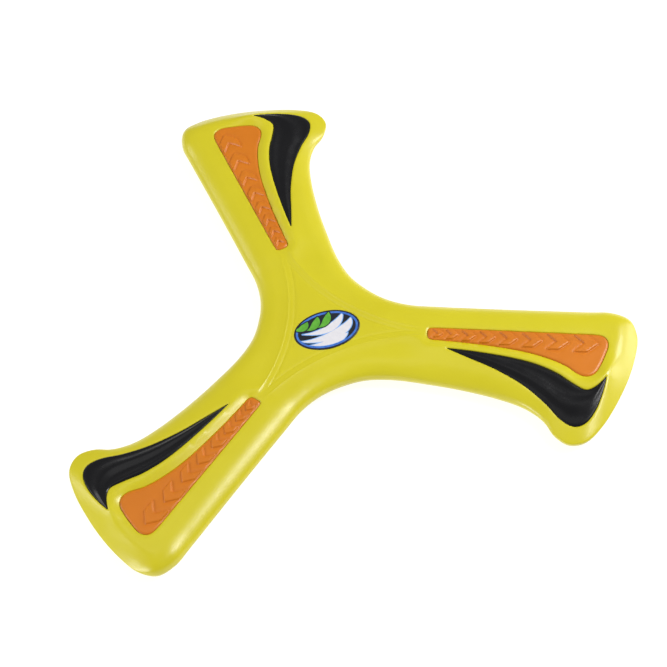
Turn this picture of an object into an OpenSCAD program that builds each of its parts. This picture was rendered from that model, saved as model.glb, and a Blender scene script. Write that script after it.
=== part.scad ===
// Three-arm soft foam boomerang, a right-hander's.
// Millimetres, +Z up. The origin is the hub's centre on the flat underside, and arm 1 lies along +X.
// Each arm leads with its straight +Y side, turned with the arm, and trails with its hooked side.

/* [Foam body] */
// Radius of the circle that the three arm tips touch
tip_radius = 144; // [120:1:170]
// Thickness of the hub, and of the foam under the orange panels
hub_t = 12; // [10:0.5:16]
// Height of the crest of each arm above the hub
crest_rise = 2; // [0.5:0.25:3]
// Slope of each arm from its crest down to the trailing edge, in degrees
trailing_fall = 10.5; // [6:0.5:12]
// Drop of the hub's flanks below its raised three-pointed top
flank_drop = 0.5; // [0:0.25:2]
// Width of the rounded rim on the upper face
rim_r = 6; // [3:0.5:6]
// Height of the widest line of the rim
rim_z = 6.5; // [5.5:0.5:7]
// Width of the rounded edge of the underside
under_r = 7.5; // [2:0.5:9]

/* [Orange panels] */
// Thickness of each glued panel
panel_t = 1.6; // [1:0.1:3]
// Gap between a glued piece and the wall of its recess
glue_gap = 0.25; // [0.1:0.05:0.5]
// Number of raised chevrons on each panel
chevron_count = 8; // [3:1:10]
// Height of the chevrons above the panel
chevron_rise = 0.6; // [0.3:0.1:1]

/* [Black inlays] */
// Thickness of each swoosh-shaped inlay
inlay_t = 2; // [1:0.1:3]
// Height of the inlay's upper face above the foam round it
inlay_proud = 0.4; // [0:0.1:1]

/* [Emblem] */
// Length of the oval emblem
emblem_l = 31; // [20:1:36]
// Width of the oval emblem
emblem_w = 21; // [12:1:24]
// Thickness of the emblem's film
emblem_t = 0.2; // [0.1:0.05:0.4]
// Turn of the emblem's long axis from arm 1, in degrees
emblem_turn = 21; // [0:1:90]

/* [Hidden] */

arm_angles = [0, 120, 240];
// Every plan point and plan length below is drawn for a tip radius of 144, and plan_scale makes it real.
plan_scale = tip_radius / 144;

// Valley between an arm's leading edge and the next arm's trailing edge, in the arm's own plan
valley = [19.4, 23.8];

// Outline of one arm: out along the trailing edge, round the hooked tip, back along the leading edge.
trailing_edge = [
    [22, -24.6], [35, -23.8], [50, -25.4], [66, -27.9],
    [82, -31.7], [94, -36.2], [102.3, -42.5], [107.3, -49.8],
];
tip_edge = [
    [114, -54], [122, -52], [129, -43.3], [134.7, -32.1],
    [139.6, -19.5], [142.8, -7], [143.8, 4], [140.5, 12.4], [132, 16],
];
leading_edge = [
    [122, 16.2], [106, 16.1], [88, 16], [70, 16],
    [53, 16.1], [40, 16.3], [29, 18.8], valley,
];
arm_edge = concat(trailing_edge, tip_edge, leading_edge);

// Outline of an orange panel, in the arm's plan
panel_edge = [
    [49.2, 0.6], [52, 1.1], [68, 1.1], [85, 1], [102, 0.9], [116, 0.8],
    [125, 0.7], [129, -0.6], [130.4, -4.5], [129, -10], [127, -15.5], [124.6, -19.8],
    [121, -21.6], [117, -20.4], [111.5, -16.4], [104, -13], [94, -10],
    [82, -7.9], [68, -6.3], [56, -5.4], [50.2, -5], [48.8, -3.6], [48.7, -1],
];

// Outline of a black inlay, in the arm's plan, as two curves that meet in sharp tips
inlay_inner_tip = [58, -10.5];
inlay_outer_tip = [129.6, -22.3];
inlay_upper = [
    inlay_inner_tip, [70, -11.7], [85, -14], [97, -16.8], [107, -20.9],
    [114, -25.4], [120.5, -28.8], [125.6, -26.6], inlay_outer_tip,
];
inlay_lower = [
    inlay_outer_tip, [128.2, -29], [125.3, -37.5], [121.2, -44], [116, -46.1],
    [110, -43], [103, -35.5], [93, -27.3], [80, -19.9], [68, -14.8], inlay_inner_tip,
];

// Turns a plan point about the hub's axis
function turned(p, a) = [p.x * cos(a) - p.y * sin(a), p.x * sin(a) + p.y * cos(a)];

// Point on a smooth curve between p1 and p2, which also passes through p0 and p3
function curve_point(p0, p1, p2, p3, t) =
    p1
    + 0.5 * t * (p2 - p0)
    + 0.5 * t * t * (2 * p0 - 5 * p1 + 4 * p2 - p3)
    + 0.5 * t * t * t * (3 * p1 - p0 - 3 * p2 + p3);

// Smooth closed curve through a list of points, with n steps from each to the next
function closed_curve(p, n) = let (c = len(p)) [
    for (i = [0 : c - 1], j = [0 : n - 1])
        curve_point(p[(i + c - 1) % c], p[i], p[(i + 1) % c], p[(i + 2) % c], j / n)
];

// Smooth open curve through a list of points, without its last one
function open_curve(p, n) = let (c = len(p)) [
    for (i = [0 : c - 2], j = [0 : n - 1])
        curve_point(p[max(i - 1, 0)], p[i], p[i + 1], p[min(i + 2, c - 1)], j / n)
];

// Unit vector square to the path from a to b, on its left
function left_of(a, b) = let (d = b - a) [-d.y, d.x] / norm(d);

// Closed counter-clockwise outline with each point moved outward by g
function grown(p, g) = let (c = len(p)) [
    for (i = [0 : c - 1]) let (n = left_of(p[(i + c - 1) % c], p[i]) + left_of(p[i], p[(i + 1) % c]))
        p[i] - n * (2 * g / max(n * n, 1))
];

// Step from 0 to 1 as v goes over a span, with soft ends
function smooth(span, v) =
    let (t = max(0, min(1, (v - span[0]) / (span[1] - span[0]))))
    t * t * (3 - 2 * t);

// Crest line of an arm, between its orange panel and its black inlay: straight at first, then bending back
crest_slope = 0.125;
crest_bend = 0.0026;
crest_bend_from = 60;
function crest_y(x) = -crest_slope * x - crest_bend * pow(max(x - crest_bend_from, 0), 2);

// How far a plan point lies on the trailing side of the crest, which turns outward round the panel's lobe
lobe_turn = [126, -12];
lobe_run = 3;
function behind_crest(p) = max(crest_y(p.x) - p.y, min(p.x - lobe_turn.x, (lobe_turn.y - p.y) / lobe_run));

// The trailing slope is a plane through this point of the crest, which also climbs outward by this angle
slope_at = [crest_bend_from, crest_y(crest_bend_from)];
outward_climb = 2;

// The hub's raised top ends at three round hollows. These are the two beside an arm, in the arm's plan.
hollow_r = 92;
hollow_centres = [[56.5, 92.5], [52, -95]];
function into_hollow(p) = hollow_r - min([for (c = hollow_centres) norm(p - c)]);

// Spans of x in which an arm rises from the hub, the hub's flanks end and the tip levels out
rise_span = [25, 52];
flank_end_span = [38, 52];
tip_span = [128, 138];
// Spans across the crest and across the edge of a hollow in which the height changes
crest_span = [-3, 0.5];
hollow_span = [0, 4];

// Height of the upper face at a plan point p of an arm
function arm_height(p) =
    let (
        climb = (p.x - slope_at.x) * tan(outward_climb) + (p.y - slope_at.y) * tan(trailing_fall),
        rise = smooth(crest_span, behind_crest(p)) * (crest_rise + min(plan_scale * climb, 0)),
        on_arm_part = smooth(rise_span, p.x) * (1 - smooth(tip_span, p.x)),
        drop = flank_drop * smooth(hollow_span, into_hollow(p)) * (1 - smooth(flank_end_span, p.x))
    )
    hub_t + on_arm_part * rise - drop;

// The foam body is skinned in rings of points, each at its own inset from the outline and its own height:
// up the rounded edge of the underside, over the rim, and in across the upper face to the crest lines.
steps = 3;
edge_count = len(arm_edge) * steps;
side_count = len(trailing_edge) * steps;
outline = closed_curve([for (a = arm_angles, p = arm_edge) turned(p, a) * plan_scale], steps);
outline_count = len(outline);
under_turns = [0, 22.5, 45, 67.5, 90];
rim_turns = [22.5, 45, 67.5, 90];
inner_parts = [0.35, 0.7];

function inset(i, d) =
    outline[i]
    + d * left_of(outline[(i + outline_count - 1) % outline_count], outline[(i + 1) % outline_count]);

// Place of point i along its own arm's edge, which starts one point after the valley before the arm
function along(i) = (i + steps) % edge_count;
function arm_of(i) = floor(((i + steps) % outline_count) / edge_count);

// The crest's last station lies inside the hooked tip
crest_end = 112;

// Station on the crest line that faces point i: both edges share the stations, and the tip shares the last
function station(i) = let (k = along(i)) min(k, edge_count - k, side_count) / side_count;
function crest_at(part) = let (x = crest_end * part) [x, crest_y(x)];
function crest_point(i) = turned(crest_at(station(i)), arm_angles[arm_of(i)]) * plan_scale;
function top_height(p, i) = arm_height(turned(p / plan_scale, -arm_angles[arm_of(i)]));

// Rings at an inset d and a height z, part of a turn over the rim, and part of the way in to the crest
function ring_under(d, z) = [for (i = [0 : outline_count - 1]) let (p = inset(i, d)) [p.x, p.y, z]];
function ring_rim(a) = [
    for (i = [0 : outline_count - 1])
        let (p = inset(i, rim_r * (1 - cos(a))), top = top_height(inset(i, rim_r), i))
            [p.x, p.y, rim_z + (top - rim_z) * sin(a)]
];
function ring_inner(part) = [
    for (i = [0 : outline_count - 1])
        let (p = inset(i, rim_r) * (1 - part) + crest_point(i) * part) [p.x, p.y, top_height(p, i)]
];

body_rings = concat(
    [for (a = under_turns) ring_under(under_r * (1 - sin(a)), rim_z * (1 - cos(a)))],
    [for (a = rim_turns) ring_rim(a)],
    [for (part = inner_parts) ring_inner(part)]
);

// The crest's stations on the three arms, which share the hub's centre, and the points under them
crest_stations = [
    [0, 0, hub_t],
    for (a = arm_angles, k = [1 : side_count])
        let (p = crest_at(k / side_count), q = turned(p, a) * plan_scale) [q.x, q.y, arm_height(p)]
];
under_stations = [for (p = crest_stations) [p.x, p.y, 0]];
function crest_index(i) = let (k = round(station(i) * side_count)) k == 0 ? 0 : arm_of(i) * side_count + k;

// Triangles between the ring that starts at point `first` and the stations that start at point `middle`
function ring_to_crest(first, middle) = [
    for (i = [0 : outline_count - 1])
        let (
            a = first + i,
            b = first + (i + 1) % outline_count,
            c = middle + crest_index(i),
            d = middle + crest_index((i + 1) % outline_count)
        )
        each c == d ? [[a, c, b]] : [[a, c, b], [b, c, d]]
];

function flipped(triangles) = [for (t = triangles) [t[0], t[2], t[1]]];

module foam_shape() {
    c = outline_count;
    top_ring = (len(body_rings) - 1) * c;
    first_crest = top_ring + c;
    first_under = first_crest + len(crest_stations);
    polyhedron(
        points = concat([for (r = body_rings, p = r) p], crest_stations, under_stations),
        faces = concat(
            flipped(ring_to_crest(0, first_under)),
            [
                for (r = [0 : c : top_ring - 1], i = [0 : c - 1])
                    let (j = (i + 1) % c)
                        each [[r + i, r + c + j, r + j], [r + i, r + c + i, r + c + j]]
            ],
            ring_to_crest(top_ring, first_crest)
        )
    );
}

// Turns children to an arm
module on_arm(number) {
    rotate([0, 0, arm_angles[number - 1]]) children();
}

// Places children on the upper face of an arm's black inlay, with z along the face's normal
module on_slope() {
    translate([plan_scale * slope_at.x, plan_scale * slope_at.y, hub_t + crest_rise + inlay_proud])
        rotate([trailing_fall, -outward_climb, 0])
            children();
}

panel_outline = plan_scale * closed_curve(panel_edge, 3);
inlay_outline = plan_scale * [
    for (p = concat(open_curve(inlay_upper, 4), open_curve(inlay_lower, 4)))
        [p.x - slope_at.x, (p.y - slope_at.y) / cos(trailing_fall)]
];

function reversed(p) = [for (i = [len(p) - 1 : -1 : 0]) p[i]];

// The recesses are cut from their floors up to well above the foam
cut_h = 10;
module recesses() {
    for (number = [1 : 3]) on_arm(number) {
        translate([0, 0, hub_t - panel_t])
            linear_extrude(cut_h) polygon(grown(reversed(panel_outline), glue_gap));
        on_slope() translate([0, 0, -inlay_t])
            linear_extrude(cut_h) polygon(grown(reversed(inlay_outline), glue_gap));
    }
}

// The raised chevrons run outward along the panel, each one larger than the last and as far from the next
// as its size asks. They sink a little into the panel, so that the two are one solid.
chevron_start = [51, 0.1];
chevron_row = 77;
chevron_first_h = 4.2;
chevron_last_h = 9.2;
chevron_sink = 0.2;
function chevron_h(k) =
    chevron_first_h + (chevron_last_h - chevron_first_h) * k / (chevron_count - 1);
function sum_to(k) = k < 0 ? 0 : chevron_h(k) + sum_to(k - 1);
function chevron_x(k) = chevron_start.x + chevron_row * sum_to(k - 1) / sum_to(chevron_count - 1);

// A chevron of height h below its own origin, pointing outward, with its stroke and point as parts of h
chevron_stroke = 0.68;
chevron_point = 0.55;
module chevron(h) {
    stroke = chevron_stroke * h;
    point = chevron_point * h;
    polygon([[0, -h], [stroke, -h], [stroke + point, -h / 2], [stroke, 0], [0, 0], [point, -h / 2]]);
}

// Centre of the emblem, beside the hub's own centre
emblem_at = [2.5, -2.4];

module foam_body() {
    color("#d8cc2c") difference() {
        foam_shape();
        recesses();
    }
}

module orange_panel(number) {
    color("#d27a2c") on_arm(number) {
        translate([0, 0, hub_t - panel_t]) linear_extrude(panel_t) polygon(panel_outline);
        for (k = [0 : chevron_count - 1])
            translate([plan_scale * chevron_x(k), plan_scale * chevron_start.y, hub_t - chevron_sink])
                linear_extrude(chevron_rise + chevron_sink) chevron(plan_scale * chevron_h(k));
    }
}

module black_inlay(number) {
    color("#2c2c2e") on_arm(number) on_slope() translate([0, 0, -inlay_t]) linear_extrude(inlay_t)
        polygon(inlay_outline);
}

module emblem() {
    color("#3f78b8") translate([emblem_at.x, emblem_at.y, hub_t]) rotate([0, 0, emblem_turn])
        linear_extrude(emblem_t)
            polygon([for (a = [0 : 7.5 : 359]) [emblem_l / 2 * cos(a), emblem_w / 2 * sin(a)]]);
}

foam_body();
orange_panel(1);  // orange_panel_1
orange_panel(2);  // orange_panel_2
orange_panel(3);  // orange_panel_3
black_inlay(1);  // black_inlay_1
black_inlay(2);  // black_inlay_2
black_inlay(3);  // black_inlay_3
emblem();
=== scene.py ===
"""Looks of a three-arm soft foam boomerang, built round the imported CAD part. Lengths are millimetres
until a mesh is made. Every plan is that of an arm along +X, and is then turned to the other two."""
import math

import bmesh
import bpy
import numpy as np
from mathutils import Matrix, Vector
from mathutils.geometry import delaunay_2d_cdt

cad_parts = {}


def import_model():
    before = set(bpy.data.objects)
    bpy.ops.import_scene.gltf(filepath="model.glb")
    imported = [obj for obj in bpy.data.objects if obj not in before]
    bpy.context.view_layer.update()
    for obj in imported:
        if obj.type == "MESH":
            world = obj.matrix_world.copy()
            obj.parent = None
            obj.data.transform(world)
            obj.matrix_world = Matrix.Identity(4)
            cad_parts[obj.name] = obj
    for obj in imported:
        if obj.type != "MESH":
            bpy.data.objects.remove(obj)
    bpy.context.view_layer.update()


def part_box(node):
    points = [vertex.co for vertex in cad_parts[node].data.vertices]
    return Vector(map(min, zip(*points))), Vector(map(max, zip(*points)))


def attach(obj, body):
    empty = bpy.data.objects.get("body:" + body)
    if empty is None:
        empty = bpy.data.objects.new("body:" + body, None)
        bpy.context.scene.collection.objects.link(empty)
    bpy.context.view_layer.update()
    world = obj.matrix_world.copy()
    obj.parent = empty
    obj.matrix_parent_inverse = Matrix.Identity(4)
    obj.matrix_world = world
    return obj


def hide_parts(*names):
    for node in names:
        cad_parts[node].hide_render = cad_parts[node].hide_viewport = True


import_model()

MM = 0.001
ARM_TURNS = (0, 120, 240)

# ---- Heights -------------------------------------------------------------------------------------
HUB_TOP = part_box("emblem")[0].z / MM
CREST_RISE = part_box("foam_body")[1].z / MM - HUB_TOP
# The rim's width on the upper face, the height of its widest line, the power of the bevel that takes
# its place at the tips, and the width of the rounding below it
RIM_R = 9.0
RIM_Z = 6.5
TIP_BEVEL = 1.6
UNDER_R = 7.5
# The parting line just below the rim's widest line: how far it stands out, and its height
PARTING_BULGE = 0.08
PARTING_H = 0.6
# The trailing slope is a plane through this point, which falls backward and climbs outward
TRAILING_FALL = math.tan(math.radians(10.5))
OUTWARD_CLIMB = math.tan(math.radians(2))
SLOPE_AT = (60.0, -7.5)
# The glued pieces: thickness, height over the foam, and the fall of their rounded edge
PANEL_T = 1.6
PANEL_PROUD = 0.1
PANEL_ROUND = 0.5
INLAY_T = 2.0
INLAY_PROUD = 0.35
INLAY_ROUND = 0.7
# The inlay's hollow and rib: height as a part of its width, place, length and fade as parts of the way across
INLAY_WAVE = 0.02
INLAY_WAVE_AT = 0.85
INLAY_WAVE_RUN = 0.55
INLAY_WAVE_FADE = 0.08
# The gap round each glued piece and the film under it
GLUE_GAP = 0.22
GLUE_FILM = 0.02
# The fall of the strip beside a panel, toward the leading edge
SHOULDER_W = 15.0
SHOULDER_DROP = 1.5
SHOULDER_SPAN = (0, 4)
# The rounded lip of each recess, and the bank that rises from a panel to the crest
LIP_W = 1.1
LIP_DROP = 0.3
BANK_SPAN = (0.3, 4.6)
# The hub's moulded marks: the fall of its flanks, the round hollows that bound its top, and the groove
# and bead along their edge
FLANK_DROP = 0.4
FLANK_SPAN = (0, 4)
HOLLOW_R = 92.0
HOLLOW_CENTRE = (56.5, 92.5)
GROOVE_AT = -3.1
GROOVE_W = 0.5
GROOVE_DEPTH = 0.22
BEAD_RISE = 0.2
BEAD_W = 0.4
# Stretches of x along an arm: the rise from the hub, the end of the hub's flanks and marks, the tip
# that levels out, and the tip's bevel, which fades again over a stretch of y toward the leading edge
RISE_SPAN = (34, 56)
FLANK_END_SPAN = (38, 49)
TIP_SPAN = (128, 138)
BEVEL_SPAN = (118, 134)
BEVEL_END_SPAN = (2, 12)
# The crest starts this far behind the arm's axis and turns back by this slope. Its side is this wide,
# and wider near the tip, where it also moves forward by a share of the extra width.
CREST_BEHIND = 2.0
CREST_TURN = 0.1
CREST_STEP = 4.0
CREST_TIP_STEP = 8.0
CREST_TIP_SHARE = 0.4
CREST_TIP_SPAN = (112, 130)

# ---- Outlines, in an arm's plan ------------------------------------------------------------------
# The points are those of the CAD part. VALLEY lies between two arms.
VALLEY = (19.4, 23.8)
ARM_EDGE = (
    (22, -24.6), (35, -23.8), (50, -25.4), (66, -27.9), (82, -31.7), (94, -36.2), (102.3, -42.5),
    (107.3, -49.8), (114, -54), (122, -52), (129, -43.3), (134.7, -32.1), (139.6, -19.5), (142.8, -7),
    (143.8, 4), (140.5, 12.4), (132, 16), (122, 16.2), (106, 16.1), (88, 16), (70, 16), (53, 16.1),
    (40, 16.3), (29, 18.8), VALLEY,
)
PANEL_EDGE = (
    (48.7, -1), (48.8, -3.6), (50.2, -5), (56, -5.4), (68, -6.3), (82, -7.9), (94, -10), (104, -13),
    (111.5, -16.4), (117, -20.4), (121, -21.6), (124.6, -19.8), (127, -15.5), (129, -10), (130.4, -4.5),
    (129, -0.6), (125, 0.7), (116, 0.8), (102, 0.9), (85, 1), (68, 1.1), (52, 1.1), (49.2, 0.6),
)
INLAY_INNER_TIP = (58, -10.5)
INLAY_OUTER_TIP = (129.6, -22.3)
INLAY_UPPER = (
    INLAY_INNER_TIP, (70, -11.7), (85, -14), (97, -16.8), (107, -20.9), (114, -25.4), (120.5, -28.8),
    (125.6, -26.6), INLAY_OUTER_TIP,
)
INLAY_LOWER = (
    INLAY_INNER_TIP, (68, -14.8), (80, -19.9), (93, -27.3), (103, -35.5), (110, -43), (116, -46.1),
    (121.2, -44), (125.3, -37.5), (128.2, -29), INLAY_OUTER_TIP,
)

# The row of raised chevrons on each panel. A bevel climbs from the foot to the place CHEVRON_BEVEL, and a
# moat with this depth, place and width lies round it. Places are counted inward from a chevron's edge.
CHEVRONS = 8
CHEVRON_START = (51.0, 0.1)
CHEVRON_ROW = 77.0
CHEVRON_FIRST_H = 4.2
CHEVRON_LAST_H = 9.2
CHEVRON_RISE = 0.6
CHEVRON_BEVEL = 0.25
CHEVRON_FOOT = -0.1
CHEVRON_MOAT = 0.2
CHEVRON_MOAT_AT = -0.3
CHEVRON_MOAT_W = 0.35
# A chevron's stroke, point and rounded corners, as parts of its height
CHEVRON_STROKE = 0.68
CHEVRON_POINT = 0.55
CHEVRON_CORNER = 0.07


# ---- Plan geometry -------------------------------------------------------------------------------
# Distances under this count as 0
TOUCHING = 0.001
# Spacing of the points along the outline, the glued pieces' edges and the recesses' walls
OUTLINE_STEP = 1.3
PIECE_STEP = 0.8
WALL_STEP = 0.9


def smooth(low, high, value):
    """Step from 0 to 1 as value goes from low to high, with soft ends."""
    t = np.clip((value - low) / (high - low), 0, 1)
    return t * t * (3 - 2 * t)


def turned(points, degrees):
    """The points turned about the hub's axis."""
    a = math.radians(degrees)
    points = np.asarray(points, float)
    x, y = points[..., 0], points[..., 1]
    return np.stack([x * math.cos(a) - y * math.sin(a), x * math.sin(a) + y * math.cos(a)], -1)


def curve_through(points, closed, steps=12):
    """Smooth curve through the points, the same one as the CAD part's."""
    p = np.asarray(points, float)
    n = len(p)
    spans = n if closed else n - 1
    out = []
    for i in range(spans):
        if closed:
            a, b, c, d = p[i - 1], p[i], p[(i + 1) % n], p[(i + 2) % n]
        else:
            a, b, c, d = p[max(i - 1, 0)], p[i], p[i + 1], p[min(i + 2, n - 1)]
        for t in np.arange(steps) / steps:
            out.append(
                b + 0.5 * t * (c - a) + 0.5 * t**2 * (2 * a - 5 * b + 4 * c - d)
                + 0.5 * t**3 * (3 * b - a - 3 * c + d)
            )
    if not closed:
        out.append(p[-1])
    return np.array(out)


def resampled(points, spacing, closed):
    """The same line with evenly spaced points."""
    p = np.vstack([points, points[:1]]) if closed else np.asarray(points, float)
    run = np.concatenate([[0], np.cumsum(np.linalg.norm(np.diff(p, axis=0), axis=1))])
    count = max(int(round(run[-1] / spacing)), 3)
    at = np.linspace(0, run[-1], count + 1)
    if closed:
        at = at[:-1]
    return np.stack([np.interp(at, run, p[:, k]) for k in (0, 1)], 1)


def edge_normals(loop):
    """Outward unit normals of the edges that leave each point of a counter-clockwise loop."""
    along = np.roll(loop, -1, axis=0) - loop
    along /= np.linalg.norm(along, axis=1)[:, None]
    return np.stack([along[:, 1], -along[:, 0]], 1)


def grown(loop, distance, fan=math.radians(20)):
    """A counter-clockwise loop moved outward by a distance, or inward if it is negative. Sharp tips that
    move outward get an arc."""
    out = []
    after = edge_normals(loop)
    before = np.roll(after, 1, axis=0)
    for point, n1, n2 in zip(loop, before, after):
        turn = math.atan2(n1[0] * n2[1] - n1[1] * n2[0], n1 @ n2)
        if distance > 0 and turn > fan:
            for part in np.linspace(0, 1, int(turn / fan) + 2):
                out.append(point + distance * turned(n1, math.degrees(turn * part)))
        else:
            n = n1 + n2
            out.append(point + n * (2 * distance / max(n @ n, 1)))
    return np.array(out)


def distance_to(points, line, closed=True):
    """Distance from each point to a line of segments, which is 0 where they touch."""
    a = np.asarray(line, float)
    b = np.roll(a, -1, axis=0) if closed else a[1:]
    a = a if closed else a[:-1]
    along = b - a
    squared = np.maximum((along**2).sum(1), 1e-12)
    out = np.empty(len(points))
    for first in range(0, len(points), 2000):
        p = points[first:first + 2000, None, :]
        t = np.clip(((p - a) * along).sum(2) / squared, 0, 1)
        out[first:first + 2000] = np.sqrt(((p - a - t[..., None] * along) ** 2).sum(2).min(1))
    return np.where(out < TOUCHING, 0, out)


def is_inside(points, loop):
    """Whether each point lies inside a closed loop."""
    x, y = points[:, 0], points[:, 1]
    inside = np.zeros(len(points), bool)
    for (x1, y1), (x2, y2) in zip(loop, np.roll(loop, -1, axis=0)):
        if y1 != y2:
            crosses = (y1 > y) != (y2 > y)
            inside ^= crosses & (x < (x2 - x1) * (y - y1) / (y2 - y1) + x1)
    return inside


def hex_grid(low, high, pitch):
    """Evenly spaced points in staggered rows over a box."""
    xs = np.arange(low[0], high[0], pitch)
    ys = np.arange(low[1], high[1], pitch * math.sqrt(0.75))
    rows = [np.stack([xs + (k % 2) * pitch / 2, np.full(len(xs), y)], 1) for k, y in enumerate(ys)]
    return np.vstack(rows)


def triangulated(loops, lines, points, keep):
    """Triangles on the loops, open lines and loose points, where keep(middles) says that the surface is."""
    coords, edges = [], []
    for line, closed in [(l, True) for l in loops] + [(l, False) for l in lines]:
        first, count = len(coords), len(line)
        coords.extend(line)
        edges.extend((first + i, first + i + 1) for i in range(count - 1))
        if closed:
            edges.append((first + count - 1, first))
    coords.extend(points)
    flat = [Vector((float(x), float(y))) for x, y in coords]
    verts, _, faces, *_ = delaunay_2d_cdt(flat, edges, [], 0, 1e-5)
    verts = np.array([tuple(v) for v in verts])
    faces = np.array([f for f in faces if len(f) == 3])
    return verts, faces[keep(verts[faces].mean(1))]


# ---- Heights of the foam -------------------------------------------------------------------------
ALL_ARMS = np.vstack([turned(ARM_EDGE, turn) for turn in ARM_TURNS])
OUTLINE = resampled(curve_through(ALL_ARMS, True), OUTLINE_STEP, True)
PANEL_LOOP = resampled(curve_through(PANEL_EDGE, True), PIECE_STEP, True)
INLAY_UPPER_LINE = resampled(curve_through(INLAY_UPPER, False), PIECE_STEP, False)
INLAY_LOWER_LINE = resampled(curve_through(INLAY_LOWER, False), PIECE_STEP, False)
INLAY_LOOP = np.vstack([INLAY_LOWER_LINE, INLAY_UPPER_LINE[-2:0:-1]])
VALLEY_TURN = math.degrees(math.atan2(VALLEY[1], VALLEY[0]))


def in_arm_plan(points):
    """The points in the plan of the arm that each belongs to, and that arm's number."""
    angle = np.degrees(np.arctan2(points[:, 1], points[:, 0]))
    arm = np.floor(((angle - VALLEY_TURN) % 360) / 120).astype(int)
    arm = (arm + 1) % 3
    local = np.empty_like(points)
    for k, turn in enumerate(ARM_TURNS):
        local[arm == k] = turned(points[arm == k], -turn)
    return local, arm


def into_hollow(local):
    """How far a point lies outside the hub's raised top, in one of the round hollows beside the arm."""
    centres = [np.array(HOLLOW_CENTRE), turned(HOLLOW_CENTRE, -120)]
    return HOLLOW_R - np.min([np.linalg.norm(local - c, axis=1) for c in centres], axis=0)


def slope_height(local):
    """The arm's trailing slope, below its crest."""
    climb = (local[:, 0] - SLOPE_AT[0]) * OUTWARD_CLIMB + (local[:, 1] - SLOPE_AT[1]) * TRAILING_FALL
    return CREST_RISE + np.minimum(climb, 0)


def hub_marks(local):
    """The hub's moulded marks: a fall outside its raised top, a bead on that edge, a groove inside it."""
    s = into_hollow(local)
    fall = FLANK_DROP * smooth(*FLANK_SPAN, s)
    bead = BEAD_RISE * np.exp(-(s / BEAD_W) ** 2)
    groove = GROOVE_DEPTH * np.exp(-((s - GROOVE_AT) / GROOVE_W) ** 2)
    return (bead - groove - fall) * (1 - smooth(*FLANK_END_SPAN, local[:, 0]))


def foam_height(points):
    """Height of the foam's upper face, before its rim and the lips of its recesses are rounded."""
    local, _ = in_arm_plan(points)
    x, y = local[:, 0], local[:, 1]
    from_panel = np.where(is_inside(local, PANEL_LOOP), 0, distance_to(local, PANEL_LOOP))
    extra = CREST_TIP_STEP * smooth(*CREST_TIP_SPAN, x)
    behind_crest = -CREST_BEHIND - CREST_TURN * (x - PANEL_EDGE[0][0]) - y + CREST_TIP_SHARE * extra
    behind = smooth(0, CREST_STEP + extra, behind_crest)
    rise = smooth(*BANK_SPAN, from_panel) * behind * slope_height(local)
    on_arm = smooth(*RISE_SPAN, x) * (1 - smooth(*TIP_SPAN, x))
    return HUB_TOP + on_arm * rise + hub_marks(local)


def leading_shoulder(points):
    """The gentle fall of the strip between an orange panel and the leading edge."""
    local, _ = in_arm_plan(points)
    x, y = local[:, 0], local[:, 1]
    near_edge = 1 - np.clip(distance_to(points, OUTLINE) / SHOULDER_W, 0, 1)
    beside = smooth(*SHOULDER_SPAN, y) * smooth(*RISE_SPAN, x) * (1 - smooth(*BEVEL_SPAN, x))
    return SHOULDER_DROP * near_edge**2 * beside


def rounded_rim(points, height):
    """Brings the height down to the rim line as the outline comes near: in a quarter of an ellipse along
    the arms, and in a flatter bevel at the tips."""
    local, _ = in_arm_plan(points)
    at_tip = smooth(*BEVEL_SPAN, local[:, 0]) * (1 - smooth(*BEVEL_END_SPAN, local[:, 1]))
    outward = 1 - np.clip(distance_to(points, OUTLINE) / RIM_R, 0, 1)
    ellipse_part = np.sqrt(1 - outward**2)
    bevel_part = 1 - outward**TIP_BEVEL
    return RIM_Z + (height - RIM_Z) * (ellipse_part + at_tip * (bevel_part - ellipse_part))


def lips(points):
    """Drop of the foam beside each recess."""
    local, _ = in_arm_plan(points)
    near = np.minimum(distance_to(local, PANEL_LOOP), distance_to(local, INLAY_LOOP)) - GLUE_GAP
    return LIP_DROP * np.clip(1 - near / LIP_W, 0, 1) ** 2


def foam_surface(points):
    """Height of the foam's upper face, complete."""
    return rounded_rim(points, foam_height(points) - leading_shoulder(points)) - lips(points)


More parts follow.
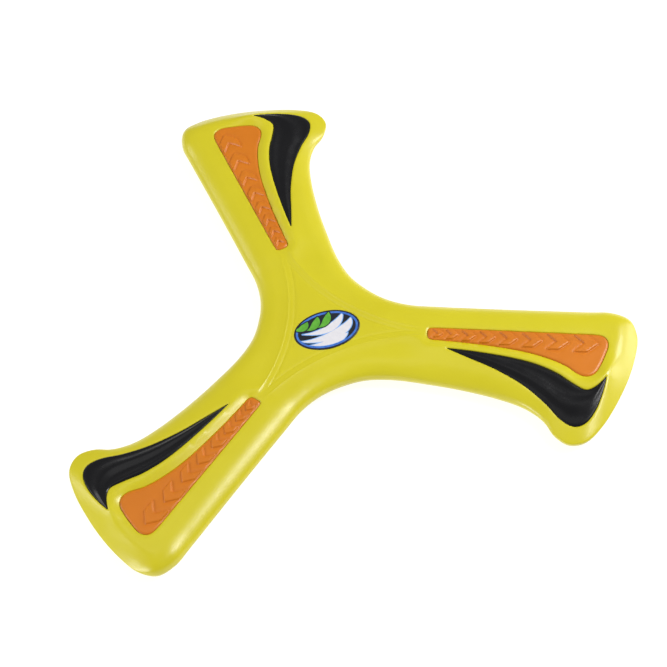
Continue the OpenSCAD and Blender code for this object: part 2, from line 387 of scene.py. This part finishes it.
# ---- Meshes --------------------------------------------------------------------------------------
class Skin:
    """A mesh put together from patches, which are welded where they meet."""

    def __init__(self):
        self.verts, self.faces = [], []

    def patch(self, xy, z, faces):
        """Points at their heights, and faces by number."""
        first = sum(len(v) for v in self.verts)
        z = np.broadcast_to(np.asarray(z, float), len(xy))
        self.verts.append(np.column_stack([xy, z]))
        self.faces.extend([first + int(i) for i in f] for f in faces)

    def strip(self, lower, lower_z, upper, upper_z):
        """Quads between two closed loops of as many points, facing outward where upper lies above lower."""
        n = len(lower)
        xy = np.vstack([lower, upper])
        z = np.concatenate([np.broadcast_to(lower_z, n), np.broadcast_to(upper_z, n)])
        self.patch(xy, z, [(i, (i + 1) % n, n + (i + 1) % n, n + i) for i in range(n)])

    def grid(self, points):
        """Quads on rows of points in space."""
        rows, columns, _ = points.shape
        flat = points.reshape(-1, 3)
        corners = [r * columns + c for r in range(rows - 1) for c in range(columns - 1)]
        self.patch(flat[:, :2], flat[:, 2], [(i, i + columns, i + columns + 1, i + 1) for i in corners])

    def closed_patch(self, xy, z, faces, bottom):
        """A patch without holes, with a wall below its edge and a flat face under it."""
        self.patch(xy, z, faces)
        edges = {(int(a), int(b)) for face in faces for a, b in zip(face, np.roll(face, -1))}
        after = {a: b for a, b in edges if (b, a) not in edges}
        loop = [next(iter(after))]
        while len(loop) < len(after):
            loop.append(after[loop[-1]])
        rim = xy[loop]
        self.strip(rim, bottom, rim, z[loop])
        under, faces = triangulated([rim], [], [], lambda middles: is_inside(middles, rim))
        self.patch(under, bottom, flipped(faces))

    def build(self, name, material):
        """The welded Blender object, in metres."""
        mesh = bpy.data.meshes.new(name)
        mesh.from_pydata((np.vstack(self.verts) * MM).tolist(), [], self.faces)
        obj = bpy.data.objects.new(name, mesh)
        bpy.context.scene.collection.objects.link(obj)
        weld(mesh)
        mesh.materials.append(material)
        mesh.shade_smooth()
        return obj


def weld(mesh, reach=2e-6):
    """Joins the patches' points where they meet, and drops slivers."""
    bm = bmesh.new()
    bm.from_mesh(mesh)
    bmesh.ops.remove_doubles(bm, verts=bm.verts, dist=reach)
    bmesh.ops.dissolve_degenerate(bm, edges=bm.edges, dist=reach / 2)
    bm.to_mesh(mesh)
    bm.free()


def flipped(faces):
    """The faces turned the other way up."""
    return [tuple(f)[::-1] for f in faces]


# ---- The foam body -------------------------------------------------------------------------------
PITCH = 1.7
RIM_INSET = 4.0
RIM_TURNS = (0, 7, 14, 22, 30, 39, 48, 57)
LIP_STEPS = (0.15, 0.35, 0.65, 1.1)
# The mesh has extra lines along the hub's marks, within this reach of the centre. They keep clear of the
# rim and, from where the panels begin, of the panels' lips.
HUB_REACH = 52
MARK_CLEAR = 0.7
LIP_CLEAR = 0.5
PANELS_FROM = 40
MARK_STEP = 0.8
HOLLOW_GAP = 2.0
HOLLOW_STEPS = (-4.6, -3.9, -3.5, -3.1, -2.7, -2.3, -1.2, -0.6, -0.3, 0, 0.3, 0.7, 1.3, 2.1, 3.2)


def recess_walls():
    """The walls of the six recesses, by the kind of piece that they hold and the arm's number."""
    return {
        (name, k): turned(resampled(grown(loop, GLUE_GAP), WALL_STEP, True), turn)
        for name, loop in (("panel", PANEL_LOOP), ("inlay", INLAY_LOOP))
        for k, turn in enumerate(ARM_TURNS)
    }


def hollow_lines():
    """Arcs along the hub's moulded marks, beside one arm."""
    lines = []
    for step in HOLLOW_STEPS:
        r = HOLLOW_R - step
        arc = np.radians(np.arange(0, 360, MARK_STEP))
        line = np.array(HOLLOW_CENTRE) + r * np.stack([np.cos(arc), np.sin(arc)], 1)
        near = np.linalg.norm(line, axis=1) < HUB_REACH
        local, _ = in_arm_plan(line)
        near &= (distance_to(line, OUTLINE) > RIM_INSET + MARK_CLEAR) & is_inside(line, OUTLINE)
        off_panel = distance_to(local, PANEL_LOOP) > LIP_W + GLUE_GAP + LIP_CLEAR
        near &= (local[:, 0] <= PANELS_FROM) | off_panel
        line = line[near]
        line = line[np.argsort(np.arctan2(*(line - HOLLOW_CENTRE).T))]
        gaps = np.flatnonzero(np.linalg.norm(np.diff(line, axis=0), axis=1) > HOLLOW_GAP) + 1
        lines.extend(part for part in np.split(line, gaps) if len(part) > 1)
    return lines


def top_grid(inner_rim):
    """Loose points for the upper face, clear of the rim, the recesses and the hub's marks."""
    grid = hex_grid(OUTLINE.min(0), OUTLINE.max(0), PITCH)
    grid = grid[is_inside(grid, inner_rim)]
    local, _ = in_arm_plan(grid)
    clear = distance_to(grid, inner_rim) > PITCH / 2
    for loop in (PANEL_LOOP, INLAY_LOOP):
        clear &= ~is_inside(local, loop) & (distance_to(local, loop) > LIP_W + GLUE_GAP + PITCH / 2)
    s = into_hollow(local)
    on_marks = (s > HOLLOW_STEPS[0] - 0.6) & (s < HOLLOW_STEPS[-1] + 0.8)
    clear &= ~(on_marks & (np.linalg.norm(grid, axis=1) < HUB_REACH))
    return grid[clear]


def foam_body(material):
    """The foam's skin: the upper face, the six recesses and the underside."""
    skin = Skin()
    rims = [grown(OUTLINE, -RIM_R * (1 - math.cos(math.radians(a)))) for a in RIM_TURNS]
    walls = recess_walls()
    lip_loops = [grown(wall, step) for wall in walls.values() for step in LIP_STEPS]
    marks = [turned(line, turn) for line in hollow_lines() for turn in ARM_TURNS]
    loops = rims + list(walls.values()) + lip_loops

    def on_top(middles):
        kept = is_inside(middles, OUTLINE)
        for wall in walls.values():
            kept &= ~is_inside(middles, wall)
        return kept

    xy, faces = triangulated(loops, marks, top_grid(rims[-1]), on_top)
    skin.patch(xy, foam_surface(xy), faces)
    for (name, _), wall in walls.items():
        recess(skin, name, wall)
    underside(skin)
    return skin.build("foam_body_skin", material)


def recess(skin, name, wall):
    """The wall and the floor of one recess."""
    skin.strip(wall, foam_surface(wall), wall, recess_floor(name, wall))
    xy, faces = triangulated([wall], [], [], lambda middles: is_inside(middles, wall))
    skin.patch(xy, recess_floor(name, xy), faces)


def recess_floor(name, points):
    """Height of a recess's floor, flat for a panel and along the trailing slope for an inlay."""
    if name == "panel":
        return np.full(len(points), HUB_TOP - PANEL_T)
    local, _ = in_arm_plan(points)
    return HUB_TOP + slope_height(local) - INLAY_T


def underside(skin):
    """The side below the rim line, the rounded lower edge and the flat face that the toy lies on."""
    parting = (grown(OUTLINE, PARTING_BULGE), RIM_Z - PARTING_H / 2)
    rings = [(OUTLINE, RIM_Z), parting, (OUTLINE, RIM_Z - PARTING_H)]
    for a in np.radians(np.arange(75, -1, -12.5)):
        rings.append((grown(OUTLINE, -UNDER_R * (1 - math.sin(a))), RIM_Z * (1 - math.cos(a))))
    for (upper, upper_z), (lower, lower_z) in zip(rings, rings[1:]):
        skin.strip(lower, lower_z, upper, upper_z)
    flat = rings[-1][0]
    grid = hex_grid(OUTLINE.min(0), OUTLINE.max(0), 4 * PITCH)
    grid = grid[is_inside(grid, flat)]
    grid = grid[distance_to(grid, flat) > PITCH]
    xy, faces = triangulated([flat], [], grid, lambda middles: is_inside(middles, flat))
    skin.patch(xy, 0, flipped(faces))


# ---- Orange panels -------------------------------------------------------------------------------
PANEL_STEPS = (0, 0.1, 0.25, 0.45, 0.75, 1.1)
PANEL_PITCH = 0.8
CHEVRON_STEPS = (-0.3, -0.08, 0.1, 0.28)
CHEVRON_SPACING = 0.4
CHEVRON_CLEAR = 0.55


def rounded_corners(points, radius, steps=4):
    """A polygon whose corners are cut back to small arcs."""
    p = np.asarray(points, float)
    out = []
    for a, b, c in zip(np.roll(p, 1, axis=0), p, np.roll(p, -1, axis=0)):
        u, v = (a - b) / np.linalg.norm(a - b), (c - b) / np.linalg.norm(c - b)
        for t in np.linspace(0, 1, steps):
            out.append(b + radius * ((1 - t) ** 2 * u + t**2 * v))
    return np.array(out)


def chevron_loops():
    """The raised chevrons, each a counter-clockwise loop, in the arm's plan."""
    heights = np.linspace(CHEVRON_FIRST_H, CHEVRON_LAST_H, CHEVRONS)
    starts = CHEVRON_START[0] + CHEVRON_ROW * (np.cumsum(heights) - heights) / heights.sum()
    loops = []
    for x, h in zip(starts, heights):
        stroke, point = CHEVRON_STROKE * h, CHEVRON_POINT * h
        corners = np.array(
            [(0, -h), (stroke, -h), (stroke + point, -h / 2), (stroke, 0), (0, 0), (point, -h / 2)]
        )
        loops.append(rounded_corners(corners + (x, CHEVRON_START[1]), CHEVRON_CORNER * h))
    return loops


def signed_inside(points, loops):
    """How far each point lies inside the nearest loop, below 0 outside all of them."""
    best = np.full(len(points), -np.inf)
    for loop in loops:
        d = distance_to(points, loop)
        best = np.maximum(best, np.where(is_inside(points, loop), d, -d))
    return best


def orange_panel(number, material):
    """A panel with rounded edges and a row of bevelled chevrons, each in a shallow moat."""
    skin = Skin()
    chevrons = chevron_loops()
    rims = [grown(PANEL_LOOP, -step) for step in PANEL_STEPS]
    bevels = [
        resampled(grown(chevron, -step), CHEVRON_SPACING, True)
        for chevron in chevrons for step in CHEVRON_STEPS
    ]
    grid = hex_grid(PANEL_LOOP.min(0), PANEL_LOOP.max(0), PANEL_PITCH)
    grid = grid[is_inside(grid, rims[-1])]
    on_bevel = np.abs(signed_inside(grid, chevrons)) < CHEVRON_CLEAR
    grid = grid[~on_bevel & (distance_to(grid, rims[-1]) > PANEL_PITCH / 2)]
    xy, faces = triangulated(rims + bevels, [], grid, lambda middles: is_inside(middles, PANEL_LOOP))
    edge = np.clip(distance_to(xy, PANEL_LOOP) / PANEL_STEPS[-1], 0, 1)
    within = signed_inside(xy, chevrons)
    raised = CHEVRON_RISE * smooth(CHEVRON_FOOT, CHEVRON_BEVEL, within)
    moat = CHEVRON_MOAT * np.exp(-((within - CHEVRON_MOAT_AT) / CHEVRON_MOAT_W) ** 2)
    z = HUB_TOP + PANEL_PROUD - PANEL_ROUND * (1 - edge) ** 2
    z += raised - moat
    skin.closed_patch(turned(xy, ARM_TURNS[number - 1]), z, faces, HUB_TOP - PANEL_T + GLUE_FILM)
    return skin.build(f"orange_panel_{number}_skin", material)


# ---- Black inlays --------------------------------------------------------------------------------
INLAY_STATIONS = 150
INLAY_COLUMNS = 26
INLAY_STEPS = (0, 0.1, 0.25, 0.5, 0.9, 1.4, 2.0, 2.8)


def black_inlay(number, material):
    """A ruled sheet between the inlay's two edges, with a shallow hollow and then a soft rib along it."""
    stations = np.linspace(0, 1, INLAY_STATIONS)
    upper, lower = (
        np.stack([np.interp(stations, np.linspace(0, 1, len(l)), l[:, k]) for k in (0, 1)], 1)
        for l in (INLAY_UPPER_LINE, INLAY_LOWER_LINE)
    )
    width = np.linalg.norm(upper - lower, axis=1)
    edge = np.array(INLAY_STEPS)
    shrink = np.minimum(1, width / (3 * edge[-1]))[:, None]
    near = edge * shrink / np.maximum(width, 1e-6)[:, None]
    middle = near[:, -1:] + (1 - 2 * near[:, -1:]) * np.linspace(0, 1, INLAY_COLUMNS)[None, 1:-1]
    across = np.concatenate([near, middle, 1 - near[:, ::-1]], 1)
    xy = lower[:, None] + (upper - lower)[:, None] * across[..., None]
    flat = xy.reshape(-1, 2)
    from_edge = np.clip(distance_to(flat, INLAY_LOOP) / edge[-1], 0, 1).reshape(across.shape)
    rounding = INLAY_ROUND * (1 - from_edge) ** 2
    wave = INLAY_WAVE * width[:, None] * np.sin(2 * np.pi * (across - INLAY_WAVE_AT) / INLAY_WAVE_RUN)
    wave *= smooth(0, INLAY_WAVE_FADE, across * (1 - across))
    z = (HUB_TOP + slope_height(flat)).reshape(across.shape) + INLAY_PROUD - rounding + wave
    rows = np.dstack([turned(xy, ARM_TURNS[number - 1]), z])
    skin = Skin()
    skin.grid(rows)
    base = rows.copy()
    base[..., 2] = (HUB_TOP + slope_height(flat)).reshape(across.shape) - INLAY_T + GLUE_FILM
    skin.grid(base[:, ::-1])
    for k, flip in ((0, False), (-1, True)):
        side = np.stack([base[:, k], rows[:, k]], 1)
        skin.grid(side[:, ::-1] if flip else side)
    return skin.build(f"black_inlay_{number}_skin", material)


# ---- Emblem --------------------------------------------------------------------------------------
EMBLEM_AT = (2.5, -2.4)
EMBLEM_TURN = 21
EMBLEM_HALF = (15.5, 10.5)
EMBLEM_T = 0.2
EMBLEM_BEVEL = 0.35
# How far in from the badge's edge the blue ring and the dark field inside it start
RING_INSET = 0.9
FIELD_INSET = 1.9
# The inks' numbers, in the order of the badge's materials
DARK, BLUE, SKY, PALE, GREEN = range(5)
# Each streak and leaf: the four handles of its curve, then half its width
STREAKS = (
    ((-13.5, -5.4), (-6.0, -8.6), (3.0, -8.2), (8.6, -4.6), 1.9),
    ((-13.8, -2.6), (-4.0, -6.2), (10.0, -4.0), (12.2, 3.0), 2.3),
    ((-11.5, 0.8), (-3.0, -1.6), (5.0, -0.6), (9.2, 6.6), 1.9),
)
LEAVES = (
    ((-15.2, 4.6), (-11.6, 3.0), (-9.4, 3.8), (-7.4, 6.8), 1.7),
    ((-9.2, 2.4), (-6.0, 2.0), (-3.4, 4.2), (-2.2, 8.2), 1.8),
    ((-3.8, 2.4), (-0.6, 2.2), (2.0, 5.0), (3.4, 9.2), 1.7),
)


def ellipse(shrink, steps=96):
    """The badge's edge, drawn in by shrink."""
    a = np.radians(np.arange(steps) * 360 / steps)
    return np.stack([(EMBLEM_HALF[0] - shrink) * np.cos(a), (EMBLEM_HALF[1] - shrink) * np.sin(a)], 1)


def held_inside(loop, shrink):
    """A loop whose points outside a smaller ellipse are drawn back onto it."""
    reach = np.linalg.norm(loop / (np.array(EMBLEM_HALF) - shrink), axis=1)
    return loop / np.maximum(reach, 1)[:, None]


def streak(a, b, c, d, half):
    """A leaf round a curve with the handles a, b, c and d, pointed at a and rounder at d."""
    t = np.linspace(0, 1, 31)[:, None]
    a, b, c, d = (np.array(p, float) for p in (a, b, c, d))
    line = (1 - t) ** 3 * a + 3 * (1 - t) ** 2 * t * b + 3 * (1 - t) * t**2 * c + t**3 * d
    along = np.gradient(line, axis=0)
    side = np.stack([-along[:, 1], along[:, 0]], 1) / np.linalg.norm(along, axis=1)[:, None]
    wide = half * np.sin(np.pi * t**1.4) ** 0.8
    return np.vstack([line - side * wide, (line + side * wide)[-2:0:-1]])


def printed_shapes():
    """The badge's shapes in the order they are printed: each a loop and the number of its ink."""
    pale = [streak(*handles) for handles in STREAKS]
    leaves = [streak(*handles) for handles in LEAVES]
    shapes = [(ellipse(RING_INSET), BLUE), (ellipse(FIELD_INSET), DARK)]
    shapes += [(held_inside(grown(loop, 0.4), FIELD_INSET), SKY) for loop in pale]
    shapes += [(held_inside(loop, 2.1), PALE) for loop in pale]
    shapes += [(held_inside(grown(loop, 0.55), 0.45), DARK) for loop in leaves]
    shapes += [(held_inside(loop, 0.7), GREEN) for loop in leaves]
    return shapes


def emblem(inks):
    """A printed oval badge: a dark rim, a blue ring, pale streaks of wind and green leaves across it. inks
    are its materials: dark, blue, sky, pale and green. Each face takes the ink that is printed last."""
    edge, bevel = ellipse(0), ellipse(EMBLEM_BEVEL)
    shapes = printed_shapes()
    loops = [edge, bevel] + [loop for loop, _ in shapes]
    grid = hex_grid(edge.min(0), edge.max(0), 0.7)
    grid = grid[is_inside(grid, bevel)]
    grid = grid[np.min([distance_to(grid, loop) for loop in loops], axis=0) > 0.2]
    xy, faces = triangulated(loops, [], grid, lambda middles: is_inside(middles, edge))
    part = np.clip(distance_to(xy, edge) / EMBLEM_BEVEL, 0, 1)
    z = HUB_TOP + EMBLEM_T * (0.1 + 0.9 * np.sqrt(1 - (1 - part) ** 2))
    skin = Skin()
    skin.closed_patch(turned(xy, EMBLEM_TURN) + EMBLEM_AT, z, faces, HUB_TOP - GLUE_FILM)
    badge = skin.build("emblem_print", inks[0])
    for material in inks[1:]:
        badge.data.materials.append(material)
    middles = np.array([face.center[:2] for face in badge.data.polygons]) / MM
    middles = turned(middles - EMBLEM_AT, -EMBLEM_TURN)
    ink = np.zeros(len(middles), int)
    for loop, number in shapes:
        ink[is_inside(middles, loop)] = number
    for face, number in zip(badge.data.polygons, ink):
        face.material_index = int(number)
    return badge


# ---- Materials -----------------------------------------------------------------------------------
def linear(r, g, b):
    """A screen colour from 0 to 255 as the linear colour that a shader takes."""
    def one(v):
        v /= 255
        return v / 12.92 if v <= 0.04045 else ((v + 0.055) / 1.055) ** 2.4
    return (one(r), one(g), one(b), 1)


class Shader:
    """A material whose nodes are added one at a time."""

    def __init__(self, name, **values):
        self.material = bpy.data.materials.new(name)
        self.material.use_nodes = True
        self.tree = self.material.node_tree
        self.bsdf = self.tree.nodes["Principled BSDF"]
        for socket, value in values.items():
            self.bsdf.inputs[socket.replace("_", " ")].default_value = value
        self.place = self.add("ShaderNodeTexCoord").outputs["Object"]

    def add(self, kind, links=(), **settings):
        """A node with its settings and socket values, fed by links from socket name to source."""
        node = self.tree.nodes.new(kind)
        for key, value in settings.items():
            if hasattr(node, key):
                setattr(node, key, value)
            else:
                node.inputs[key.replace("_", " ")].default_value = value
        for socket, source in dict(links).items():
            self.tree.links.new(source, node.inputs[socket])
        return node

    def noise(self, scale, detail=3, rough=0.5):
        """Noise over the object's own place."""
        return self.add(
            "ShaderNodeTexNoise", {"Vector": self.place}, Scale=scale, Detail=detail, Roughness=rough
        ).outputs["Fac"]

    def ramp(self, source, *stops):
        """A colour ramp with (place, colour) stops."""
        node = self.add("ShaderNodeValToRGB", {"Fac": source})
        elements = node.color_ramp.elements
        while len(elements) < len(stops):
            elements.new(0.5)
        for element, (at, colour) in zip(elements, stops):
            element.position = at
            element.color = colour
        return node.outputs["Color"]

    def to(self, socket, source):
        """Feeds a socket of the surface's shader."""
        self.tree.links.new(source, self.bsdf.inputs[socket])

    def bump(self, layers):
        """Adds heights on each other: (source, strength, depth in metres)."""
        normal = None
        for source, strength, depth in layers:
            links = {"Height": source}
            if normal is not None:
                links["Normal"] = normal
            normal = self.add("ShaderNodeBump", links, Strength=strength, Distance=depth).outputs["Normal"]
        self.to("Normal", normal)


def foam_skin(name, dark, light, roughness, **values):
    """Skinned foam: an even colour with a faint cloudiness, fine pores and a slightly uneven gloss."""
    s = Shader(name, **values)
    cloud = s.noise(28, 4, 0.55)
    s.to("Base Color", s.ramp(cloud, (0.3, dark), (0.7, light)))
    gloss = s.noise(160, 3)
    low, high = roughness
    s.to("Roughness", s.ramp(gloss, (0.3, (low, low, low, 1)), (0.7, (high, high, high, 1))))
    pores = (s.noise(2200, 2), 0.1, 0.00004)
    grain = (s.noise(420, 3), 0.08, 0.00008)
    waviness = (s.noise(60, 2), 0.1, 0.0003)
    s.bump([pores, grain, waviness])
    return s.material


def ink(name, dark, light):
    """Printed ink: an even colour with the faint grain of the film under it."""
    s = Shader(name, Roughness=0.38, Specular_IOR_Level=0.5)
    s.to("Base Color", s.ramp(s.noise(700, 2), (0.35, dark), (0.65, light)))
    s.bump([(s.noise(3000, 2), 0.15, 0.00002)])
    return s.material


YELLOW = foam_skin(
    "yellow_foam", linear(206, 194, 12), linear(211, 200, 20), (0.28, 0.34), Specular_IOR_Level=0.8
)
ORANGE = foam_skin("orange_foam", linear(203, 113, 12), linear(212, 120, 18), (0.32, 0.4))
BLACK = foam_skin("black_foam", linear(8, 8, 11), linear(13, 13, 16), (0.23, 0.3), Specular_IOR_Level=0.4)

body = foam_body(YELLOW)
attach(body, "root")
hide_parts("foam_body")
for number in (1, 2, 3):
    for piece, node, slot in (
        (orange_panel(number, ORANGE), f"orange_panel_{number}", "orange_foam"),
        (black_inlay(number, BLACK), f"black_inlay_{number}", "black_foam"),
    ):
        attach(piece, "root")
        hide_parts(node)

badge = emblem([
    ink("ink_dark", linear(14, 20, 30), linear(22, 28, 40)),
    ink("ink_blue", linear(52, 100, 190), linear(70, 122, 210)),
    ink("ink_sky", linear(110, 160, 225), linear(132, 180, 238)),
    ink("ink_pale", linear(221, 219, 224), linear(226, 224, 228)),
    ink("ink_green", linear(84, 160, 44), linear(98, 176, 56)),
])
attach(badge, "root")
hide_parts("emblem")


# ---- Camera, light and floor ---------------------------------------------------------------------
# Turn and rise in degrees, distance in metres, and the field of view in degrees
VIEW_TURN = 10.3
VIEW_RISE = 56.0
VIEW_ROLL = 6.3
VIEW_DISTANCE = 0.843
VIEW_FIELD = 20.54
VIEW_AT = Vector((5.7, -4.3, HUB_TOP)) * MM
FLOOR_HALF = 3
FLOOR_DROP = 0.0002
FLOOR_GREY = 0.3
FLOOR_GLOW = 0.85


def camera():
    """The scene's camera, which looks down at the toy from the front."""
    turn, rise = math.radians(VIEW_TURN), math.radians(VIEW_RISE)
    back = Vector((math.sin(turn) * math.cos(rise), -math.cos(turn) * math.cos(rise), math.sin(rise)))
    data = bpy.data.cameras.new("camera")
    data.sensor_width = 36
    data.angle = math.radians(VIEW_FIELD)
    obj = bpy.data.objects.new("camera", data)
    look = (-back).to_track_quat("-Z", "Y").to_matrix().to_4x4()
    obj.matrix_world = Matrix.Translation(VIEW_AT + back * VIEW_DISTANCE) @ look @ Matrix.Rotation(
        math.radians(-VIEW_ROLL), 4, "Z"
    )
    bpy.context.scene.collection.objects.link(obj)
    bpy.context.scene.camera = obj


def area_light(name, turn, rise, power, away=1.2, width=0.55):
    """A square soft box that faces the hub, turned from arm 1 and raised over the floor by these degrees."""
    data = bpy.data.lights.new(name, "AREA")
    data.shape = "SQUARE"
    data.size = width
    data.energy = power
    turn, rise = math.radians(turn), math.radians(rise)
    toward = Vector((math.cos(turn) * math.cos(rise), math.sin(turn) * math.cos(rise), math.sin(rise)))
    obj = bpy.data.objects.new(name, data)
    obj.location = toward * away
    obj.rotation_euler = (-toward).to_track_quat("-Z", "Y").to_euler()
    bpy.context.scene.collection.objects.link(obj)


def floor():
    """A plain pale floor, just below the toy, which glows a little so that it stays white."""
    mesh = bpy.data.meshes.new("floor")
    corners = [(x * FLOOR_HALF, y * FLOOR_HALF, 0) for x, y in ((-1, -1), (1, -1), (1, 1), (-1, 1))]
    mesh.from_pydata(corners, [], [(0, 1, 2, 3)])
    s = Shader("floor", Base_Color=(FLOOR_GREY, FLOOR_GREY, FLOOR_GREY, 1), Roughness=0.9)
    s.bsdf.inputs["Emission Color"].default_value = (1, 1, 1, 1)
    s.bsdf.inputs["Emission Strength"].default_value = FLOOR_GLOW
    mesh.materials.append(s.material)
    obj = bpy.data.objects.new("floor", mesh)
    bpy.context.scene.collection.objects.link(obj)
    obj.location.z = -FLOOR_DROP


def world(strength):
    """Even white light from all round."""
    w = bpy.data.worlds.new("studio")
    bpy.context.scene.world = w
    w.use_nodes = True
    w.node_tree.nodes["Background"].inputs["Color"].default_value = (1, 1, 1, 1)
    w.node_tree.nodes["Background"].inputs["Strength"].default_value = strength


camera()
floor()
world(0.28)
area_light("key_box", 22, 50, 11)
area_light("right_low_box", 25, 12, 3.6)
area_light("left_low_box", 225, 12, 6)
area_light("left_box", 180, 32, 3)
area_light("top_box", 144, 72, 0.6)
bpy.context.scene.view_settings.view_transform = "Standard"
